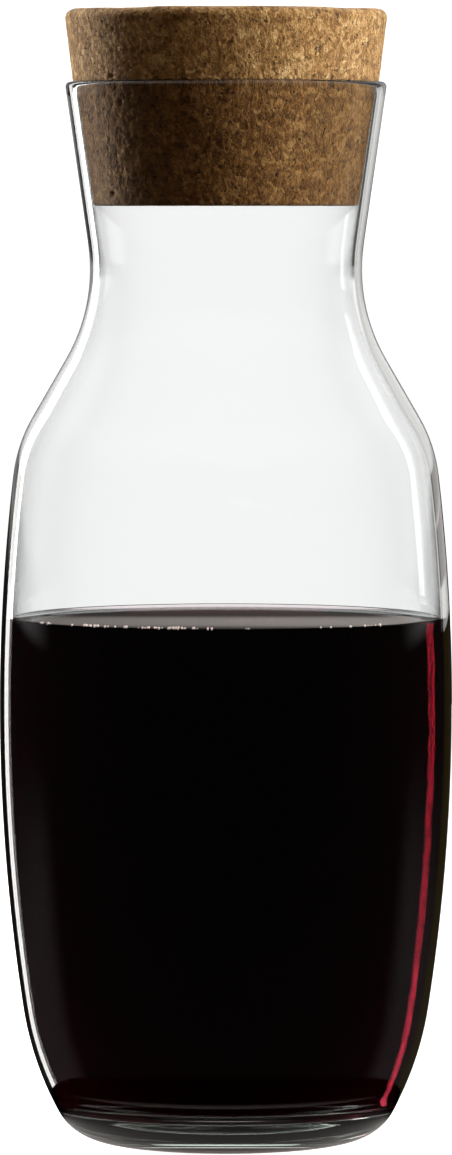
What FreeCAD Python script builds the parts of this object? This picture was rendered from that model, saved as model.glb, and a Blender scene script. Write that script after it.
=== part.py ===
"""A corked glass bottle: a blown carafe with a heavy base, its tapered cork stopper, and red wine.

Everything is turned about the Z axis, in millimetres, with Z = 0 on the surface that the foot
stands on.  The wall's outside is a chain of tangent arcs: heel, flank, lower body, upper body and
shoulder, then a straight slope, the neck's hollow curve and the straight flare of the mouth.  The
inside is the same chain one wall further in, so the glass is equally thick all the way up.
"""
import FreeCAD, Part
import math
import os

# Bottle, outside
bottle_height = 266.5
belly_radius = 57.0
belly_height = 109.0
flank_height = 33.2            # where the lower body's curve ends and the flank's begins
flank_inset = 5.8              # how much narrower the bottle is there than at the belly
flank_radius = 80.0
heel_radius = 14.0
upper_body_curve = 500.0
shoulder_radius = 38.0
shoulder_slope = 30.0          # degrees from upright, of the straight stretch under the neck
neck_radius = 34.2
neck_drop = 47.0               # from the top of the lip down to the neck's narrowest place
neck_curve = 45.0
mouth_radius = 40.3

# Bottle, glass
wall = 2.5
floor_thickness = 9.5
inner_heel_radius = 9.0
punt_radius = 21.0             # the shallow dome pressed into the underside
punt_depth = 3.2
punt_edge_radius = 6.0

# Wine
wine_level = 132.2

# Cork stopper
cork_depth = 31.0              # how far it reaches down from the top of the lip
cork_head_height = 18.4
cork_overhang = 0.9            # how far the head stands out over the lip
cork_head_flare = 1.9          # how much wider the head is at its top than at its foot
cork_top_rounding = 2.0
cork_head_foot_rounding = 0.4
cork_bottom_rounding = 0.8
cork_fit = 0.05                # clearance between the cork and the glass


def point(radius, height):
    """A point of the half section, at a radius from the axis and a height."""
    return FreeCAD.Vector(radius, 0, height)


def slanted(angle):
    """The unit vector that leans up by an angle from level, in the half section."""
    return point(math.cos(angle), math.sin(angle))


def direction(start, end):
    """The unit vector from one point towards another."""
    return (end - start).normalize()


def straight(start, end):
    return Part.makeLine(start, end)


def arc(centre, radius, start_direction, end_direction):
    """The arc about a centre between two directions, which are unit vectors from it."""
    middle_direction = (start_direction + end_direction).normalize()
    start, middle, end = (centre + way * radius
                          for way in (start_direction, middle_direction, end_direction))
    return Part.Arc(start, middle, end).toShape()


def rounded_outline(corners):
    """A closed outline through corners, each a point and the radius that rounds it, or 0."""
    edges = []
    ends = []
    count = len(corners)
    for index, (corner, radius) in enumerate(corners):
        back = direction(corner, corners[index - 1][0])
        ahead = direction(corner, corners[(index + 1) % count][0])
        half_angle = back.getAngle(ahead) / 2
        start = corner + back * (radius / math.tan(half_angle))
        end = corner + ahead * (radius / math.tan(half_angle))
        if radius:
            bisector = (back + ahead).normalize()
            middle = corner + bisector * (radius / math.sin(half_angle) - radius)
            edges.append(Part.Arc(start, middle, end).toShape())
        ends.append((start, end))
    for index in range(count):
        edges.append(straight(ends[index - 1][1], ends[index][0]))
    return edges


def turned_solid(edges):
    """The solid that a closed half section sweeps in one turn about the axis."""
    section = Part.Face(Part.Wire(Part.__sortEdges__(edges)))
    return section.revolve(FreeCAD.Vector(), FreeCAD.Vector(0, 0, 1), 360)


# Centres of the wall's arcs, shared by its outside and its inside
up = point(0, 1)
down = point(0, -1)
outward = point(1, 0)
flank_drop = belly_height - flank_height
lower_body_curve = (flank_drop ** 2 + flank_inset ** 2) / (2 * flank_inset)
lower_body_centre = point(belly_radius - lower_body_curve, belly_height)
lower_to_flank = direction(lower_body_centre, point(belly_radius - flank_inset, flank_height))
flank_centre = lower_body_centre + lower_to_flank * (lower_body_curve - flank_radius)
upper_body_centre = point(belly_radius - upper_body_curve, belly_height)
neck_centre = point(neck_radius + neck_curve, bottle_height - neck_drop)
lip_radius = wall / 2
lip_centre = point(mouth_radius - lip_radius, bottle_height - lip_radius)


def rounded_foot(flat_height, flank, radius):
    """The centre of the arc that joins a flat at a height to the flank's arc of radius flank."""
    drop = flank_centre.z - flat_height - radius
    run = math.sqrt((flank - radius) ** 2 - drop ** 2)
    return point(flank_centre.x + run, flat_height + radius)


# The slope leans in by shoulder_slope; slope_out points out of the glass there
slope_out = slanted(math.radians(shoulder_slope))
slope_down = point(slope_out.z, -slope_out.x)
level_with_neck = neck_centre - slope_out * (neck_curve + shoulder_radius)
from_upper_body = level_with_neck - upper_body_centre
slide = from_upper_body.dot(slope_down)
reach = upper_body_curve - shoulder_radius
shoulder_centre = level_with_neck + slope_down * (
    math.sqrt(slide ** 2 + reach ** 2 - from_upper_body.Length ** 2) - slide)
upper_to_shoulder = direction(upper_body_centre, shoulder_centre)

# The flare is the straight line that touches the neck's curve and the outside of the lip
lip_to_neck = neck_centre - lip_centre
flare_angle = (math.atan2(-lip_to_neck.z, lip_to_neck.x)
               - math.acos((neck_curve + lip_radius) / lip_to_neck.Length))
flare_out = slanted(-flare_angle)


def wall_line(inset, flat_height, foot_rounding):
    """The wall's edges from a flat up to the lip, a distance inside the bottle's outline."""
    foot_centre = rounded_foot(flat_height, flank_radius - inset, foot_rounding)
    foot_to_flank = direction(flank_centre, foot_centre)
    slope_foot = shoulder_centre + slope_out * (shoulder_radius - inset)
    slope_top = neck_centre - slope_out * (neck_curve + inset)
    flare_foot = neck_centre - flare_out * (neck_curve + inset)
    flare_top = lip_centre + flare_out * (lip_radius - inset)
    return [
        arc(foot_centre, foot_rounding, down, foot_to_flank),
        arc(flank_centre, flank_radius - inset, foot_to_flank, lower_to_flank),
        arc(lower_body_centre, lower_body_curve - inset, lower_to_flank, outward),
        arc(upper_body_centre, upper_body_curve - inset, outward, upper_to_shoulder),
        arc(shoulder_centre, shoulder_radius - inset, upper_to_shoulder, slope_out),
        straight(slope_foot, slope_top),
        arc(neck_centre, neck_curve + inset, -slope_out, -flare_out),
        straight(flare_foot, flare_top),
    ]


def inside_line():
    """The inside of the glass, from the middle of the floor up to the lip."""
    floor_edge = rounded_foot(floor_thickness, flank_radius - wall, inner_heel_radius).x
    floor = straight(point(0, floor_thickness), point(floor_edge, floor_thickness))
    return [floor, *wall_line(wall, floor_thickness, inner_heel_radius)]


def underside():
    """The dome of the punt, its rounded edge and the flat ring out to the heel."""
    dome_radius = (punt_radius ** 2 + punt_depth ** 2) / (2 * punt_depth)
    dome_centre = point(0, punt_depth - dome_radius)
    rise = punt_edge_radius - dome_centre.z
    edge_centre = point(math.sqrt((dome_radius + punt_edge_radius) ** 2 - rise ** 2),
                        punt_edge_radius)
    dome_to_edge = direction(dome_centre, edge_centre)
    foot_radius = rounded_foot(0, flank_radius, heel_radius).x
    return [
        arc(dome_centre, dome_radius, up, dome_to_edge),
        arc(edge_centre, punt_edge_radius, -dome_to_edge, down),
        straight(point(edge_centre.x, 0), point(foot_radius, 0)),
    ]


def make_bottle():
    """The glass: one piece, with a rounded lip that joins its outside to its inside."""
    lip_top = point(-flare_out.z, flare_out.x)
    lip = [arc(lip_centre, lip_radius, flare_out, lip_top),
           arc(lip_centre, lip_radius, lip_top, -flare_out)]
    axis = straight(point(0, punt_depth), point(0, floor_thickness))
    return turned_solid([*underside(), *wall_line(0, 0, heel_radius), *lip, *inside_line(), axis])


def make_wine():
    """What the bottle holds: the inside of the glass, filled up to the wine's level."""
    mouth_edge = lip_centre - flare_out * lip_radius
    cover = straight(mouth_edge, point(0, mouth_edge.z))
    axis = straight(point(0, mouth_edge.z), point(0, floor_thickness))
    filling = turned_solid([*inside_line(), cover, axis])
    below_level = Part.makeCylinder(2 * belly_radius, wine_level)
    return filling.common(below_level).Solids[0]


def plug_radius(height):
    """The plug's radius at a height: the mouth's own taper, held off the glass by the fit."""
    on_side = lip_centre - flare_out * (lip_radius + cork_fit)
    return on_side.x + (height - on_side.z) * math.tan(flare_angle)


def make_cork():
    """A tapered plug in the mouth, and above it a head that rests on the lip."""
    plug_bottom = bottle_height - cork_depth
    head_foot = bottle_height + cork_fit
    head_top = head_foot + cork_head_height
    head_foot_radius = plug_radius(head_foot) + cork_overhang
    return turned_solid(rounded_outline([
        (point(0, plug_bottom), 0),
        (point(plug_radius(plug_bottom), plug_bottom), cork_bottom_rounding),
        (point(plug_radius(head_foot), head_foot), 0),
        (point(head_foot_radius, head_foot), cork_head_foot_rounding),
        (point(head_foot_radius + cork_head_flare, head_top), cork_top_rounding),
        (point(0, head_top), 0),
    ]))


os.makedirs("parts", exist_ok=True)
for name, solid in (("bottle", make_bottle()), ("wine", make_wine()), ("cork", make_cork())):
    solid.exportStep(f"parts/{name}.step")
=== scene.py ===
"""A clear glass carafe with a cork stopper, part filled with dark red wine."""
import cmath
import math
import bmesh
import bpy
import numpy as np
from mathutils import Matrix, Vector, noise


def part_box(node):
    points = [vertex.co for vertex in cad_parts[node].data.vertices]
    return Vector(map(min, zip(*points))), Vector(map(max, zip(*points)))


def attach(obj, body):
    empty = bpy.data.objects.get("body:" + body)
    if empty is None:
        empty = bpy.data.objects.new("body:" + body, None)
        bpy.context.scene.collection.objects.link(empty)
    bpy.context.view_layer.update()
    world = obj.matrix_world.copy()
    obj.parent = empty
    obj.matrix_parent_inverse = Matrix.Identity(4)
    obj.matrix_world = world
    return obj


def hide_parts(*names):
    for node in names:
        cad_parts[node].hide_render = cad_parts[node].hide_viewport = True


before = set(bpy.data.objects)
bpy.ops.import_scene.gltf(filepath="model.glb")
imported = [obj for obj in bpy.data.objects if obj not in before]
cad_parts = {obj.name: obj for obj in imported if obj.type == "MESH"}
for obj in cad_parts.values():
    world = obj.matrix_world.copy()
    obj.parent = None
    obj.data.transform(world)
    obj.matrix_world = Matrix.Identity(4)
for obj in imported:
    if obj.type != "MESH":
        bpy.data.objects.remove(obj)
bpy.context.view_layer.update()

MM = 0.001
glass_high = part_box("bottle")[1]
wine_low, wine_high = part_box("wine")
cork_low, cork_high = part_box("cork")

# The carafe's own sizes, in millimetres; those that the frame shows are read from it
BOTTLE_HEIGHT = glass_high.z / MM
BELLY_RADIUS = glass_high.x / MM
WALL = (glass_high.x - wine_high.x) / MM
FLOOR = wine_low.z / MM
WINE_LEVEL = wine_high.z / MM
CORK_BOTTOM = cork_low.z / MM
CORK_TOP = cork_high.z / MM
CORK_RADIUS = cork_high.x / MM
BELLY_HEIGHT = 109.0
FLANK_HEIGHT = 33.2
FLANK_INSET = 5.8
FLANK_RADIUS = 80.0
HEEL_RADIUS = 14.0
UPPER_BODY_CURVE = 500.0
SHOULDER_RADIUS = 38.0
SHOULDER_SLOPE = 30.0
NECK_RADIUS = 34.2
NECK_DROP = 47.0
NECK_CURVE = 45.0
MOUTH_RADIUS = 40.3
INNER_HEEL_RADIUS = 9.0
PUNT_RADIUS = 21.0
PUNT_DEPTH = 3.2
PUNT_EDGE_RADIUS = 6.0
CORK_HEAD_FLARE = 1.9
CORK_FIT = 0.05
WINE_BITE = 0.15                # how far the wine reaches into the glass, so that no air shows
MENISCUS_RISE = 0.9             # how far the wine climbs the glass above its flat
MENISCUS_REACH = 1.5

GLASS_INDEX = 1.5
WINE_INDEX = 1.34
GLASS_TURNS = 288               # faces round the glass and round the wine
CORK_TURNS = 520

# The cork's roundings, and how deep its relief is cut
CORK_TOP_ROUNDING = 2.3
CORK_BOTTOM_ROUNDING = 0.8
HEAD_FOOT_ROUNDING = 0.4
TOP_CLEARANCE = 0.02
FINE_CUT = 0.10
GRAIN_CUT = 0.16
SEAM_CUT = 0.16
PIT_CUT = 0.6
WORN_TOP = 3.0                  # how far down the worn top edge reaches
RELIEF_SEED = 7                 # without it noise_vector differs from run to run

# The bubbles at the wine's edge, in metres
BEAD_RISE = 1.5                 # how much taller a bubble is than its radius
BEAD_GAP = 0.00005

# The camera and the studio, in metres and degrees
CAMERA_BACK = 1.8
CAMERA_HEIGHT = 0.240
CAMERA_TILT = 3.1203            # down from level
CAMERA_LENS = 7154.9 * 36 / 1155
CAMERA_SENSOR = 36
CARD_DISTANCE = 0.7
FLOOR_SIZE = 60
TABLE_RADIUS = 0.14
UNDER_RADIUS = 0.07

# The world's light, for rays that came through clear glass and for reflections by direction
CLEAR_LIGHT = 1.08
SEEN_LIGHT = 0.2                # more, where the camera sees the world itself
DIM_LIGHT = 0.008
MATT_LIGHT = 0.022
WALL_LIGHT = 0.9
LOW_LIGHT = 0.14
GRAZING_LIGHT = 0.28
HIGH_LIGHT = 0.6


# ---------------------------------------------------------------- half sections
# A point of a half section is a complex number: radius from the axis + 1j * height.

def unit(way):
    return way / abs(way)


def slanted(angle):
    return cmath.rect(1, angle)


def arc(centre, radius, start, end, step=2.4, turn=3.2):
    """Points along an arc about a centre, between two unit directions, both ends included."""
    sweep = cmath.phase(end / start)
    count = max(2, math.ceil(abs(sweep) / math.radians(turn)),
                math.ceil(abs(sweep) * radius / step))
    return [centre + radius * start * slanted(sweep * i / count) for i in range(count + 1)]


def straight(start, end, step=2.4):
    count = max(1, math.ceil(abs(end - start) / step))
    return [start + (end - start) * i / count for i in range(count + 1)]


def joined(*runs):
    """Runs of points as one line, without the points that two runs share."""
    line = []
    for run in runs:
        for place in run:
            if not line or abs(place - line[-1]) > 1e-6:
                line.append(place)
    return line


flank_drop = BELLY_HEIGHT - FLANK_HEIGHT
lower_curve = (flank_drop ** 2 + FLANK_INSET ** 2) / (2 * FLANK_INSET)
lower_centre = BELLY_RADIUS - lower_curve + 1j * BELLY_HEIGHT
to_flank = unit(BELLY_RADIUS - FLANK_INSET + 1j * FLANK_HEIGHT - lower_centre)
flank_centre = lower_centre + to_flank * (lower_curve - FLANK_RADIUS)
upper_centre = BELLY_RADIUS - UPPER_BODY_CURVE + 1j * BELLY_HEIGHT
neck_centre = NECK_RADIUS + NECK_CURVE + 1j * (BOTTLE_HEIGHT - NECK_DROP)
lip_radius = WALL / 2
lip_centre = MOUTH_RADIUS - lip_radius + 1j * (BOTTLE_HEIGHT - lip_radius)

slope_out = slanted(math.radians(SHOULDER_SLOPE))
slope_down = slope_out / 1j
level_with_neck = neck_centre - slope_out * (NECK_CURVE + SHOULDER_RADIUS)
from_upper = level_with_neck - upper_centre
slide = (from_upper * slope_down.conjugate()).real
reach = UPPER_BODY_CURVE - SHOULDER_RADIUS
shoulder_centre = level_with_neck + slope_down * (
    math.sqrt(slide ** 2 + reach ** 2 - abs(from_upper) ** 2) - slide)
to_shoulder = unit(shoulder_centre - upper_centre)

lip_to_neck = neck_centre - lip_centre
flare_angle = (math.atan2(-lip_to_neck.imag, lip_to_neck.real)
               - math.acos((NECK_CURVE + lip_radius) / abs(lip_to_neck)))
flare_out = slanted(-flare_angle)


def wall_line(inset, flat_height, foot_rounding):
    """The wall from a flat up to the lip, a distance inside the bottle's outline."""
    flank = FLANK_RADIUS - inset
    drop = flank_centre.imag - flat_height - foot_rounding
    run = math.sqrt((flank - foot_rounding) ** 2 - drop ** 2)
    foot_centre = flank_centre.real + run + 1j * (flat_height + foot_rounding)
    foot_to_flank = unit(foot_centre - flank_centre)
    slope_foot = shoulder_centre + slope_out * (SHOULDER_RADIUS - inset)
    slope_top = neck_centre - slope_out * (NECK_CURVE + inset)
    flare_foot = neck_centre - flare_out * (NECK_CURVE + inset)
    flare_top = lip_centre + flare_out * (lip_radius - inset)
    return joined(
        arc(foot_centre, foot_rounding, -1j, foot_to_flank),
        arc(flank_centre, flank, foot_to_flank, to_flank),
        arc(lower_centre, lower_curve - inset, to_flank, 1),
        arc(upper_centre, UPPER_BODY_CURVE - inset, 1, to_shoulder),
        arc(shoulder_centre, SHOULDER_RADIUS - inset, to_shoulder, slope_out),
        straight(slope_foot, slope_top),
        arc(neck_centre, NECK_CURVE + inset, -slope_out, -flare_out),
        straight(flare_foot, flare_top))


def punt_line():
    """The underside, from its middle out to the heel."""
    dome_radius = (PUNT_RADIUS ** 2 + PUNT_DEPTH ** 2) / (2 * PUNT_DEPTH)
    dome_centre = 1j * (PUNT_DEPTH - dome_radius)
    rise = PUNT_EDGE_RADIUS - dome_centre.imag
    edge_centre = (math.sqrt((dome_radius + PUNT_EDGE_RADIUS) ** 2 - rise ** 2)
                   + 1j * PUNT_EDGE_RADIUS)
    way = unit(edge_centre - dome_centre)
    return joined(arc(dome_centre, dome_radius, 1j, way),
                  arc(edge_centre, PUNT_EDGE_RADIUS, -way, -1j),
                  [edge_centre.real + 0j])


def floor_line(height, wall):
    return straight(1j * height, wall[0])


# ---------------------------------------------------------------- meshes

def new_piece(name, mesh):
    piece = bpy.data.objects.new(name, mesh)
    bpy.context.scene.collection.objects.link(piece)
    return piece


def finished_mesh(name, shape):
    """The bmesh as a smooth mesh in metres whose faces point outwards."""
    bmesh.ops.remove_doubles(shape, verts=shape.verts, dist=1e-6)
    if shape.calc_volume(signed=True) < 0:
        bmesh.ops.reverse_faces(shape, faces=shape.faces)
    bmesh.ops.scale(shape, vec=(MM, MM, MM), verts=shape.verts)
    mesh = bpy.data.meshes.new(name)
    shape.to_mesh(mesh)
    shape.free()
    mesh.shade_smooth()
    return mesh


def round_place(radius, height, angle):
    return (radius * math.cos(angle), radius * math.sin(angle), height)


def turned(line, turns, place=round_place):
    """A bmesh in millimetres: a half section turned about Z.  Its ends on the axis become poles.

    place(radius, height, angle) is where a point of the section goes."""
    shape = bmesh.new()
    angles = [2 * math.pi * i / turns for i in range(turns)]
    rings = []
    for spot in line:
        radius, height = spot.real, spot.imag
        if radius < 1e-6:
            rings.append([shape.verts.new(place(0, height, 0))])
        else:
            rings.append([shape.verts.new(place(radius, height, a)) for a in angles])
    for low, high in zip(rings, rings[1:]):
        for i in range(turns):
            after = (i + 1) % turns
            if len(low) == 1:
                shape.faces.new((low[0], high[after], high[i]))
            elif len(high) == 1:
                shape.faces.new((low[i], low[after], high[0]))
            else:
                shape.faces.new((low[i], low[after], high[after], high[i]))
    return shape


def make_glass():
    outside = wall_line(0, 0, HEEL_RADIUS)
    inside = wall_line(WALL, FLOOR, INNER_HEEL_RADIUS)
    lip = arc(lip_centre, lip_radius, flare_out, flare_out * 1j, turn=12)
    lip += arc(lip_centre, lip_radius, flare_out * 1j, -flare_out, turn=12)
    punt = punt_line()
    line = joined(punt, straight(punt[-1], outside[0]), outside, lip,
                  inside[::-1], floor_line(FLOOR, inside)[::-1])
    return new_piece("glass", finished_mesh("glass", turned(line, GLASS_TURNS)))


def wine_wall():
    """The wine's side, which reaches a little into the glass, up to the edge of its meniscus."""
    wall = wall_line(WALL - WINE_BITE, FLOOR - WINE_BITE, INNER_HEEL_RADIUS + WINE_BITE)
    top = WINE_LEVEL
    below = [spot for spot in wall if spot.imag < top - 1]
    above = [spot for spot in wall if spot.imag >= top - 1][0]
    share = (top - below[-1].imag) / (above.imag - below[-1].imag)
    return below + straight(below[-1], below[-1] + (above - below[-1]) * share, 0.5)[1:]


def make_wine():
    side = wine_wall()
    rim = side[-1].real
    flat = WINE_LEVEL - MENISCUS_RISE
    surface = []
    for back in [0.05 * 1.22 ** k for k in range(27)]:
        surface.append(rim - back + 1j * (flat + MENISCUS_RISE * math.exp(-back / MENISCUS_REACH)))
    surface += straight(surface[-1].real + 1j * flat, 1j * flat)[1:]
    line = joined(floor_line(FLOOR - WINE_BITE, side), side, surface)
    return new_piece("wine_fill", finished_mesh("wine_fill", turned(line, GLASS_TURNS)))


def plug_radius(height):
    side = lip_centre - flare_out * (lip_radius + CORK_FIT)
    return side.real + (height - side.imag) * math.tan(flare_angle)


def cork_outline():
    """The stopper's half section, before its relief is cut."""
    foot = BOTTLE_HEIGHT + CORK_FIT
    foot_radius = CORK_RADIUS - CORK_HEAD_FLARE
    lean = math.atan2(CORK_HEAD_FLARE, CORK_TOP - foot)
    side = slanted(-lean)
    top, bottom, lip = CORK_TOP_ROUNDING, CORK_BOTTOM_ROUNDING, HEAD_FOOT_ROUNDING
    corner = CORK_RADIUS - top * math.cos(lean) - TOP_CLEARANCE + 1j * (CORK_TOP - top)
    bottom_corner = plug_radius(CORK_BOTTOM) - bottom + 1j * (CORK_BOTTOM + bottom)
    plug_top = plug_radius(foot) + 1j * foot
    return joined(
        straight(1j * CORK_BOTTOM, bottom_corner - 1j * bottom, 1.3),
        arc(bottom_corner, bottom, -1j, flare_out, 0.3, 30),
        straight(bottom_corner + bottom * flare_out, plug_top, 0.5),
        straight(plug_top, foot_radius - lip + 1j * foot, 0.4),
        arc(foot_radius - lip + 1j * (foot + lip), lip, -1j, side, 0.2, 30),
        straight(foot_radius + 1j * (foot + lip), corner + top * side, 0.5),
        arc(corner, top, side, 1j, 0.5, 12),
        straight(corner + 1j * top, 1j * CORK_TOP, 0.9))


def cut_place(radius, height, angle):
    """Where a point of the outline lies once grains, seams, pits and the worn edge are cut."""
    out = unit(radius + 1j * (height - (CORK_BOTTOM + CORK_TOP) / 2))
    spot = Vector(round_place(radius, height, angle))
    bent = spot + 0.8 * noise.noise_vector(spot / 1.9)
    cut = FINE_CUT * (0.5 + 0.5 * noise.noise(spot / 0.8))
    cut += GRAIN_CUT * (0.5 + 0.5 * noise.noise(bent / 2.4 + Vector((7, 3, 1))))
    near, far = noise.voronoi(bent / 2.6)[0][:2]
    cut += SEAM_CUT * max(0.0, 1 - (far - near) / 0.12)
    pit = noise.voronoi(bent / 5.2 + Vector((2, 5, 9)))[0][0]
    cut += PIT_CUT * max(0.0, 1 - (pit / 0.13) ** 2)
    worn = 0.0
    if height > CORK_TOP - WORN_TOP:
        worn = 0.30 + 0.35 * noise.noise(Vector((math.cos(angle), math.sin(angle), 4)) * 2.3)
        worn *= min(1.0, (height - CORK_TOP + WORN_TOP) / WORN_TOP)
    return round_place(radius - cut * out.real, height - cut * out.imag - worn, angle)


def make_cork():
    """The stopper, with its grains, seams and pits cut into the surface."""
    noise.seed_set(RELIEF_SEED)
    shape = turned(cork_outline(), CORK_TURNS, cut_place)
    return new_piece("cork_stopper", finished_mesh("cork_stopper", shape))


# ---------------------------------------------------------------- materials

class Value:
    """A node's output; arithmetic on it adds Math nodes, so a finish reads as a formula."""

    def __init__(self, finish, socket):
        self.finish = finish
        self.socket = socket

    def math(self, operation, first, second=0.0):
        return self.finish.node("ShaderNodeMath", {"operation": operation}, {0: first, 1: second})

    def __add__(self, other):
        return self.math("ADD", self, other)

    def __radd__(self, other):
        return self.math("ADD", other, self)

    def __sub__(self, other):
        return self.math("SUBTRACT", self, other)

    def __rsub__(self, other):
        return self.math("SUBTRACT", other, self)

    def __mul__(self, other):
        return self.math("MULTIPLY", self, other)

    def __rmul__(self, other):
        return self.math("MULTIPLY", other, self)

    def __truediv__(self, other):
        return self.math("DIVIDE", self, other)


class Finish:
    """A material, or the world, whose nodes are added one call at a time."""

    def __init__(self, name, owner=None):
        self.made = owner or bpy.data.materials.new(name)
        self.made.use_nodes = True
        self.tree = self.made.node_tree
        self.tree.nodes.clear()

    def node(self, kind, settings=None, inputs=None, output=0):
        """Adds a node: its settings first, then the values or links of its sockets."""
        node = self.tree.nodes.new(kind)
        for key, value in (settings or {}).items():
            if key == "stops":
                self.set_stops(node.color_ramp, value)
            else:
                setattr(node, key, value)
        for key, value in (inputs or {}).items():
            if isinstance(value, Value):
                self.tree.links.new(value.socket, node.inputs[key])
            else:
                node.inputs[key].default_value = value
        return Value(self, node.outputs[output]) if node.outputs else node

    def set_stops(self, ramp, stops):
        while len(ramp.elements) < len(stops):
            ramp.elements.new(0.5)
        for element, (place, shade) in zip(ramp.elements, stops):
            element.position = place
            element.color = (*shade, 1)

    def blend(self, share, first, second, mode="MIX"):
        """Two colours mixed."""
        first = first if isinstance(first, Value) else (*first, 1)
        second = second if isinstance(second, Value) else (*second, 1)
        return self.node("ShaderNodeMix", {"data_type": "RGBA", "blend_type": mode},
                         {0: share, 6: first, 7: second}, 2)

    def step(self, value, low, high):
        """0 below low, 1 above high, smooth between."""
        return self.node("ShaderNodeMapRange", {"interpolation_type": "SMOOTHSTEP"},
                         {0: value, 1: low, 2: high, 3: 0.0, 4: 1.0})

    def noise(self, place, scale, detail=2.0, roughness=0.5):
        return self.node("ShaderNodeTexNoise", {},
                         {"Vector": place, "Scale": scale, "Detail": detail,
                          "Roughness": roughness})

    def place(self):
        return self.node("ShaderNodeTexCoord", {}, {}, "Object")

    def shade_of(self, colour):
        """The red of a colour, as a number."""
        return self.node("ShaderNodeSeparateColor", {}, {0: colour})

    def ramp(self, value, stops):
        return self.node("ShaderNodeValToRGB", {"stops": stops}, {0: value})

    def stretched(self, place, scale):
        return self.node("ShaderNodeMapping", {}, {"Vector": place, "Scale": scale})

    def along(self, axis):
        """How far a point lies along X, Y or Z (0, 1 or 2)."""
        return self.node("ShaderNodeSeparateXYZ", {}, {0: self.place()}, axis)

    def away(self):
        """How far a point lies from the piece's own middle."""
        return self.node("ShaderNodeVectorMath", {"operation": "LENGTH"}, {0: self.place()}, 1)

    def is_over(self, value, limit=0.5):
        return self.node("ShaderNodeMath", {"operation": "GREATER_THAN"}, {0: value, 1: limit})

    def bump(self, height, distance, strength=1.0, below=None):
        inputs = {"Height": height, "Distance": distance, "Strength": strength}
        if below:
            inputs["Normal"] = below
        return self.node("ShaderNodeBump", {}, inputs)

    def one_sided(self, light, after_bounce):
        """The light for rays after a reflection, or for the others; the rest pass through."""
        clear = self.node("ShaderNodeBsdfTransparent", {}, {"Color": (1, 1, 1, 1)})
        first, second = (clear, light) if after_bounce else (light, clear)
        return self.node("ShaderNodeMixShader", {}, {0: light_path(self)[1], 1: first, 2: second})

    def surface(self, shader, volume=None):
        links = {"Surface": shader}
        if volume:
            links["Volume"] = volume
        self.node("ShaderNodeOutputMaterial", {}, links)
        return self.made


def clear_glass():
    finish = Finish("clear_glass")
    place = finish.place()
    draw = finish.noise(finish.stretched(place, (1, 1, 0.35)), 26.0, 1.0)
    waves = finish.bump(draw, 0.00035, 0.2)
    body = finish.node("ShaderNodeBsdfPrincipled", {}, {
        "Base Color": (1, 1, 1, 1), "Roughness": 0.0, "IOR": GLASS_INDEX,
        "Transmission Weight": 1.0, "Normal": waves})
    tint = finish.node("ShaderNodeVolumeAbsorption", {},
                       {"Color": (0.45, 0.7, 0.6, 1), "Density": 9.0})
    return finish.surface(body, tint)


def red_wine():
    finish = Finish("red_wine")
    body = finish.node("ShaderNodeBsdfPrincipled", {}, {
        "Base Color": (1.0, 0.94, 0.94, 1), "Roughness": 0.0, "IOR": WINE_INDEX,
        "Transmission Weight": 1.0})
    depth = finish.node("ShaderNodeVolumeAbsorption", {},
                        {"Color": (0.70, 0.54, 0.58, 1), "Density": 250.0})
    return finish.surface(body, depth)


def natural_cork():
    finish = Finish("natural_cork")
    place = finish.place()
    wander = finish.node("ShaderNodeTexNoise", {}, {"Vector": place, "Scale": 420.0,
                                                    "Detail": 2.0}, 1)
    bent = finish.node("ShaderNodeVectorMath", {"operation": "MULTIPLY_ADD"},
                       {0: wander, 1: (0.0022, 0.0022, 0.0022), 2: place})
    coarse = finish.shade_of(finish.node("ShaderNodeTexVoronoi", {},
                                         {"Vector": bent, "Scale": 300.0}, 1))
    small = finish.shade_of(finish.node("ShaderNodeTexVoronoi", {},
                                        {"Vector": bent, "Scale": 900.0}, 1))
    fine = finish.noise(place, 1500.0, 4.0, 0.65)
    fleck = finish.noise(finish.stretched(place, (1, 1, 0.45)), 900.0, 3.0, 0.7)
    patch = finish.noise(place, 90.0, 3.0, 0.6)
    grains = 0.10 * coarse + 0.17 * small + 0.34 * fine + 0.27 * fleck + 0.16 * patch
    tone = finish.ramp(grains, [
        (0.30, (0.075, 0.030, 0.006)), (0.44, (0.21, 0.106, 0.030)),
        (0.56, (0.37, 0.212, 0.078)), (0.70, (0.66, 0.46, 0.23))])
    pit = finish.step(finish.noise(bent, 760.0, 2.0), 0.62, 0.68)
    mixed = finish.blend(pit * 0.8, tone, (0.03, 0.012, 0.003))
    seam = finish.node("ShaderNodeTexVoronoi", {"feature": "DISTANCE_TO_EDGE"},
                       {"Vector": bent, "Scale": 300.0})
    crack = (1 - finish.step(seam, 0.0, 0.09)) * finish.step(patch, 0.42, 0.60)
    mixed = finish.blend(crack * 0.3, mixed, (0.05, 0.02, 0.006))
    curl = finish.noise(bent, 170.0, 1.0) - 0.5
    strand = 1 - finish.step(curl * curl * 4000.0, 0.2, 1.0)
    mixed = finish.blend(strand * 0.13, mixed, (0.62, 0.42, 0.22))
    # Painted shade and stain: below the lip, inside the glass neck, the plug's colour is
    # multiplied darker. Part of this is a contact stain, and part is the shade the glass in front
    # would cast, since the glass here casts no shadow.
    plug_stain_and_shade = 1 - finish.step(finish.along(2), (BOTTLE_HEIGHT - 0.4) * MM,
                           (BOTTLE_HEIGHT + 0.2) * MM)
    mixed = finish.blend(plug_stain_and_shade, mixed, (0.62, 0.54, 0.42), "MULTIPLY")
    low = finish.bump(fine + fleck, 0.0005, 0.9)
    relief = finish.bump(0.4 * strand - pit - 0.6 * crack, 0.00022, 0.7, low)
    body = finish.node("ShaderNodeBsdfPrincipled", {}, {
        "Base Color": mixed, "Roughness": 0.76 + 0.18 * fine, "IOR": 1.35, "Normal": relief,
        "Sheen Weight": 0.25, "Sheen Roughness": 0.5})
    return finish.surface(body)


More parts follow.
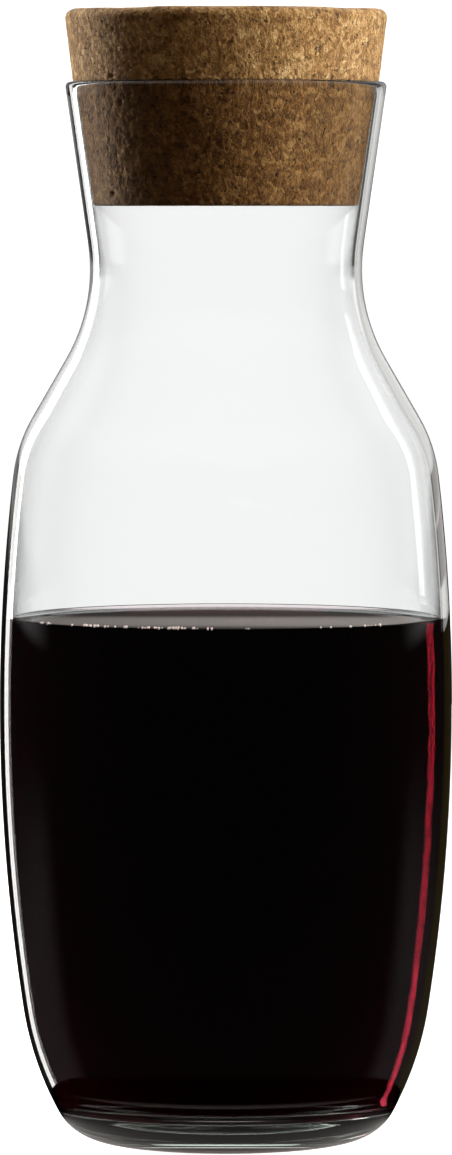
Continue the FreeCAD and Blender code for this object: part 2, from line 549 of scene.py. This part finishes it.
def froth_painted_glow():
    finish = Finish("froth_painted_glow")
    # The bubbles glow a little: their emission is painted light, since they are no lamp.
    body = finish.node("ShaderNodeBsdfPrincipled", {}, {
        "Base Color": (0.8, 0.62, 0.6, 1), "Roughness": 0.15, "IOR": 1.33,
        "Emission Color": (1, 0.88, 0.84, 1), "Emission Strength": 0.35})
    return finish.surface(body)


# ---------------------------------------------------------------- studio

def unit_plane(name, width, height):
    mesh = bpy.data.meshes.new(name)
    corners = [(-width / 2, 0, -height / 2), (width / 2, 0, -height / 2),
               (width / 2, 0, height / 2), (-width / 2, 0, height / 2)]
    mesh.from_pydata(corners, [], [(0, 1, 2, 3)])
    return new_piece(name, mesh)


def seen_only_by(piece, *rays):
    for ray in ("camera", "diffuse", "glossy", "transmission", "volume_scatter", "shadow"):
        setattr(piece, "visible_" + ray, ray in rays)


def glow(name, shade, strength, after_bounce):
    """A card's plain light; after_bounce says whether only reflections see it, or none do."""
    finish = Finish(name)
    light = finish.node("ShaderNodeEmission", {}, {"Color": (*shade, 1), "Strength": strength})
    return finish.surface(finish.one_sided(light, after_bounce))


def card(name, azimuth, width, low, high, material, *rays):
    """An upright card that faces the bottle.  Azimuth is from straight behind it, towards -X."""
    piece = unit_plane(name, width, high - low)
    angle = math.radians(azimuth)
    piece.location = (-CARD_DISTANCE * math.sin(angle), CARD_DISTANCE * math.cos(angle),
                      (low + high) / 2)
    piece.rotation_euler = (0, 0, angle)
    piece.data.materials.append(material)
    seen_only_by(piece, *rays)


def lamp(name, place, target, width, height, power, shade):
    """A soft lamp that lights matt surfaces and that nothing mirrors or shows."""
    data = bpy.data.lights.new(name, "AREA")
    data.shape = "RECTANGLE"
    data.size = width
    data.size_y = height
    data.energy = power
    data.color = shade
    piece = bpy.data.objects.new(name, data)
    piece.location = place
    piece.rotation_euler = (Vector(target) - Vector(place)).to_track_quat("-Z", "Y").to_euler()
    piece.visible_camera = False
    piece.visible_glossy = False
    piece.visible_transmission = False
    bpy.context.scene.collection.objects.link(piece)


def light_path(finish):
    """Whether a ray comes straight from the camera, after a reflection, off a matt surface, and
    through glass."""
    path = finish.node("ShaderNodeLightPath", {}, {}, "Is Camera Ray")
    glossy, diffuse, entered = (Value(finish, path.socket.node.outputs[name]) for name in (
        "Glossy Depth", "Diffuse Depth", "Transmission Depth"))
    return (path, finish.is_over(glossy + diffuse), finish.is_over(diffuse),
            finish.is_over(entered))


def make_world():
    """White for the camera and through clear glass.  Reflections see a dim studio, with the pale
    wall again in what the glass turns upwards and out at the back, and soft bands above, below
    and level with the bottle."""
    world = bpy.data.worlds.new("studio")
    bpy.context.scene.world = world
    world.cycles.sampling_method = "NONE"
    finish = Finish("studio", world)
    camera, bounced, matt, entered = light_path(finish)
    way = finish.node("ShaderNodeTexCoord", {}, {}, "Generated")
    ahead = finish.node("ShaderNodeSeparateXYZ", {}, {0: way}, 1)
    upward = finish.node("ShaderNodeSeparateXYZ", {}, {0: way}, 2)
    mirrored = bounced * (1 - matt)
    through = mirrored * entered * finish.step(ahead, 0.2, 0.5)
    wall = through * finish.step(upward, 0.0, 0.03)
    low = through * (1 - finish.step(upward, -0.20, -0.08))
    grazing = mirrored * finish.step(ahead, 0.2, 0.6) * finish.step(upward, -0.030, -0.015)
    high = mirrored * (1 - entered) * finish.step(upward, 0.25, 0.6)
    strength = (1 - bounced) * (CLEAR_LIGHT + camera * SEEN_LIGHT)
    strength = strength + bounced * (DIM_LIGHT + matt * MATT_LIGHT)
    strength = strength + wall * WALL_LIGHT + low * LOW_LIGHT
    strength = strength + grazing * GRAZING_LIGHT + high * HIGH_LIGHT
    back = finish.node("ShaderNodeBackground", {}, {"Color": (1, 1, 1, 1), "Strength": strength})
    finish.node("ShaderNodeOutputWorld", {}, {"Surface": back})


def disc(name, radius, height, material, *rays):
    """A level disc under the bottle, seen by those rays alone."""
    shape = bmesh.new()
    bmesh.ops.create_circle(shape, cap_ends=True, radius=radius, segments=64)
    piece = new_piece(name, bpy.data.meshes.new(name))
    shape.to_mesh(piece.data)
    shape.free()
    piece.location.z = height
    piece.data.materials.append(material)
    seen_only_by(piece, *rays)


def make_floor():
    """The pale floor that the camera sees, and the discs that the base shows and mirrors."""
    floor = unit_plane("floor", FLOOR_SIZE, FLOOR_SIZE)
    floor.rotation_euler = (math.pi / 2, 0, 0)
    finish = Finish("floor_white")
    matt = finish.node("ShaderNodeBsdfDiffuse", {}, {"Color": (0.9, 0.9, 0.9, 1)})
    # The floor also glows, with painted light on top of the lamps' light. The glow is 0.8 within
    # 0.15 m of the bottle's middle and rises to 1.05 beyond 0.45 m, so the lamps' shading shows
    # near the bottle and the far floor is white.
    lift = finish.node("ShaderNodeEmission", {},
                       {"Strength": 0.8 + 0.25 * finish.step(finish.away(), 0.15, 0.45)})
    floor.data.materials.append(finish.surface(finish.node("ShaderNodeAddShader", {},
                                                           {0: matt, 1: lift})))
    seen_only_by(floor, "camera")
    disc("table_top", TABLE_RADIUS, -0.0005, glow("table_glow", (0.9, 0.9, 0.88), 0.9, False),
         "transmission")
    finish = Finish("under_glow")
    light = finish.node("ShaderNodeEmission", {}, {
        "Color": (0.40, 0.38, 0.36, 1), "Strength": 1 - finish.step(finish.away(), 0.042, 0.052)})
    disc("under_glass", UNDER_RADIUS, -0.0004, finish.surface(finish.one_sided(light, True)),
         "glossy", "transmission")


def inside_radius(height):
    wall = wall_line(WALL, FLOOR, INNER_HEEL_RADIUS)
    return float(np.interp(height, [spot.imag for spot in wall], [spot.real for spot in wall]))


def make_surface_light(distance):
    """A dim card with one soft strip of light, which the middle of the wine's top mirrors."""
    slope = (CAMERA_HEIGHT - WINE_LEVEL * MM) / CAMERA_BACK
    finish = Finish("surface_light")
    right = finish.step(finish.along(0), -0.25, 0.25)
    off = finish.along(2) / 0.002
    strip = 1 - finish.step(off * off, 0.0, 1.0)
    light = finish.node("ShaderNodeEmission", {}, {
        "Color": (1.0, 0.9, 0.84, 1), "Strength": (0.08 + 0.35 * strip) * (0.4 + right)})
    piece = unit_plane("surface_light", 0.5, 0.05)
    piece.location = (0, distance, WINE_LEVEL * MM + distance * slope)
    piece.data.materials.append(finish.surface(finish.one_sided(light, True)))
    seen_only_by(piece, "transmission")


def make_studio():
    make_world()
    make_floor()
    make_surface_light(0.35)
    bright = glow("window_glow", (1, 0.99, 0.97), 3.0, True)
    soft = glow("right_window_glow", (1, 0.98, 0.96), 0.75, True)
    olive = glow("olive_glow", (0.06, 0.052, 0.014), 0.5, True)
    strong = glow("window_through_wine", (1, 0.97, 0.98), 70.0, False)
    card("window_strip", 33.5, 0.10, -0.3, 0.7, bright, "glossy", "transmission")
    card("right_strip", -26, 0.22, 0.10, 0.7, soft, "glossy", "transmission")
    card("right_low_strip", -28, 0.20, -0.4, 0.10, olive, "glossy")
    card("right_line", -9, 0.15, -0.4, 0.06, soft, "glossy")
    card("window_behind_wine", 38.8, 0.055, -0.3, 0.6, strong, "transmission")
    lamp("right_window", (0.78, -0.10, 0.42), (0, 0, 0.25), 0.45, 0.8, 16, (1, 0.97, 0.9))
    lamp("left_window", (-0.59, 0.46, 0.35), (0, 0, 0.25), 0.16, 0.7, 15, (1, 0.98, 0.95))
    lamp("top_box", (0.1, 0, 1.3), (0, 0, 0), 1.0, 1.0, 7, (1, 0.96, 0.9))
    lamp("front_fill", (0.5, -1.3, 0.7), (0, 0, 0.2), 0.8, 0.8, 3, (1, 0.62, 0.25))


def make_camera():
    data = bpy.data.cameras.new("camera")
    data.sensor_width = CAMERA_SENSOR
    data.lens = CAMERA_LENS
    data.clip_end = 100
    camera = bpy.data.objects.new("camera", data)
    camera.location = (0, -CAMERA_BACK, CAMERA_HEIGHT)
    camera.rotation_euler = (math.radians(90 - CAMERA_TILT), 0, 0)
    bpy.context.scene.collection.objects.link(camera)
    bpy.context.scene.camera = camera


def bead_tree():
    """Beads scattered along an arc: their count, place, sizes, seed and finish are inputs."""
    tree = bpy.data.node_groups.new("beads", "GeometryNodeTree")
    tree.is_modifier = True
    for name, kind in (("Beads", "NodeSocketInt"), ("Ring Radius", "NodeSocketFloat"),
                       ("Height", "NodeSocketFloat"), ("From Angle", "NodeSocketFloat"),
                       ("To Angle", "NodeSocketFloat"), ("Smallest", "NodeSocketFloat"),
                       ("Largest", "NodeSocketFloat"), ("Seed", "NodeSocketInt"),
                       ("Finish", "NodeSocketMaterial")):
        tree.interface.new_socket(name, in_out="INPUT", socket_type=kind)
    tree.interface.new_socket("Beads", in_out="OUTPUT", socket_type="NodeSocketGeometry")
    given = tree.nodes.new("NodeGroupInput").outputs

    def node(kind, settings=None, **links):
        made = tree.nodes.new(kind)
        for key, value in (settings or {}).items():
            setattr(made, key, value)
        for key, value in links.items():
            socket = made.inputs[key.replace("_", " ")]
            if isinstance(value, bpy.types.NodeSocket):
                tree.links.new(value, socket)
            else:
                socket.default_value = value
        return made

    def maths(operation, *values):
        made = node("ShaderNodeMath", {"operation": operation})
        for socket, value in zip(made.inputs, values):
            if isinstance(value, bpy.types.NodeSocket):
                tree.links.new(value, socket)
            else:
                socket.default_value = value
        return made.outputs[0]

    def chance(low, high, shift):
        made = tree.nodes.new("FunctionNodeRandomValue")
        tree.links.new(low, made.inputs[2])
        tree.links.new(high, made.inputs[3])
        tree.links.new(maths("ADD", given["Seed"], shift), made.inputs["Seed"])
        return made.outputs[1]

    angle = chance(given["From Angle"], given["To Angle"], 0)
    size = chance(given["Smallest"], given["Largest"], 1)
    away = maths("SUBTRACT", given["Ring Radius"], size)
    spot = node("ShaderNodeCombineXYZ", X=maths("MULTIPLY", away, maths("COSINE", angle)),
                Y=maths("MULTIPLY", away, maths("SINE", angle)), Z=given["Height"])
    points = node("GeometryNodePoints", Count=given["Beads"], Position=spot.outputs[0])
    bead = node("GeometryNodeMeshIcoSphere", Radius=1.0, Subdivisions=2)
    tall = node("ShaderNodeCombineXYZ", X=size, Y=size, Z=maths("MULTIPLY", size, BEAD_RISE))
    laid = node("GeometryNodeInstanceOnPoints", Points=points.outputs[0],
                Instance=bead.outputs["Mesh"], Scale=tall.outputs[0])
    real = node("GeometryNodeRealizeInstances", Geometry=laid.outputs[0])
    dressed = node("GeometryNodeSetMaterial", Geometry=real.outputs[0], Material=given["Finish"])
    tree.links.new(dressed.outputs[0], tree.nodes.new("NodeGroupOutput").inputs[0])
    return tree


def make_beads(name, tree, finish, **sizes):
    """One run of beads, as a plain mesh."""
    maker = new_piece(name + "_maker", bpy.data.meshes.new(name))
    modifier = maker.modifiers.new("beads", "NODES")
    modifier.node_group = tree
    keys = {item.name: item.identifier for item in tree.interface.items_tree
            if item.in_out == "INPUT"}
    for label, value in sizes.items():
        modifier[keys[label.replace("_", " ")]] = value
    modifier[keys["Finish"]] = finish
    ready = maker.evaluated_get(bpy.context.evaluated_depsgraph_get())
    mesh = bpy.data.meshes.new_from_object(ready)
    maker.modifiers.clear()
    bpy.data.objects.remove(maker)
    mesh.shade_smooth()
    return new_piece(name, mesh)


# ---------------------------------------------------------------- the carafe

make_camera()
make_studio()

glass = make_glass()
glass.data.materials.append(clear_glass())
glass.visible_shadow = False
wine = make_wine()
wine.data.materials.append(red_wine())
cork = make_cork()
cork.data.materials.append(natural_cork())
tree = bead_tree()
bead_finish = froth_painted_glow()
ring = inside_radius(WINE_LEVEL) * MM - BEAD_GAP
crowd = make_beads("bead_crowd", tree, bead_finish, Beads=44, Ring_Radius=ring,
                   Height=(WINE_LEVEL + 0.1) * MM, From_Angle=math.radians(-131),
                   To_Angle=math.radians(-98), Smallest=0.00013, Largest=0.00034, Seed=3)
strays = make_beads("bead_strays", tree, bead_finish, Beads=34, Ring_Radius=ring,
                    Height=WINE_LEVEL * MM, From_Angle=math.radians(-152),
                    To_Angle=math.radians(-46), Smallest=0.00012, Largest=0.0003, Seed=8)

for piece, slot in ((glass, "clear_glass"), (wine, "red_wine"), (cork, "natural_cork"),
                    (crowd, "red_wine"), (strays, "red_wine")):
    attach(piece, "root")
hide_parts("bottle")
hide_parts("wine")
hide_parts("cork")

bpy.context.scene.view_settings.view_transform = "Standard"
